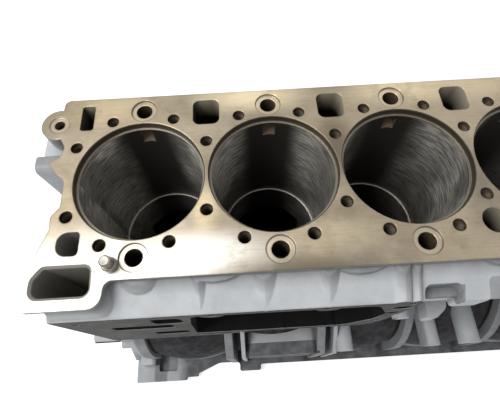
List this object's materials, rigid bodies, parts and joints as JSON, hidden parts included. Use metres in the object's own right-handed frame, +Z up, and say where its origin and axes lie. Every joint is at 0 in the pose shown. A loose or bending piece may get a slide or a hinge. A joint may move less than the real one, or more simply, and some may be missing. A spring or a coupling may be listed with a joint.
{
  "type": "engine block",
  "caption": "Bare in-line diesel engine block with machined deck, open cylinder bores, cooler flange, domed crankcase and main bearing caps.",
  "frame": {"origin": "on the crankshaft axis, half way between the first and the last main bearing", "axes": "+X along the crankshaft towards the flywheel end, +Y towards the side away from the oil cooler, +Z up to the deck"},
  "size_m": [1.08, 0.424, 0.54],
  "materials": {
    "painted_iron": "pale grey semi-gloss paint, machined faces bare",
    "bare_iron": "bare cast and machined",
    "black_steel": "blackened",
    "plated_steel": "zinc plated",
    "bright_steel": "turned and ground"
  },
  "bodies": {
    "root": {"cylinder_block": "painted_iron", "main_cap_1": "bare_iron", "main_cap_2": "bare_iron", "main_cap_3": "bare_iron", "main_cap_4": "bare_iron", "main_cap_5": "bare_iron", "main_cap_6": "bare_iron", "main_cap_7": "bare_iron", "main_cap_bolts": "black_steel", "core_plugs": "plated_steel", "gallery_plugs": "plated_steel", "drain_plug": "plated_steel", "deck_stud": "bright_steel", "front_dowels": "bright_steel", "rear_dowels": "bright_steel"}
  },
  "joints": []
}
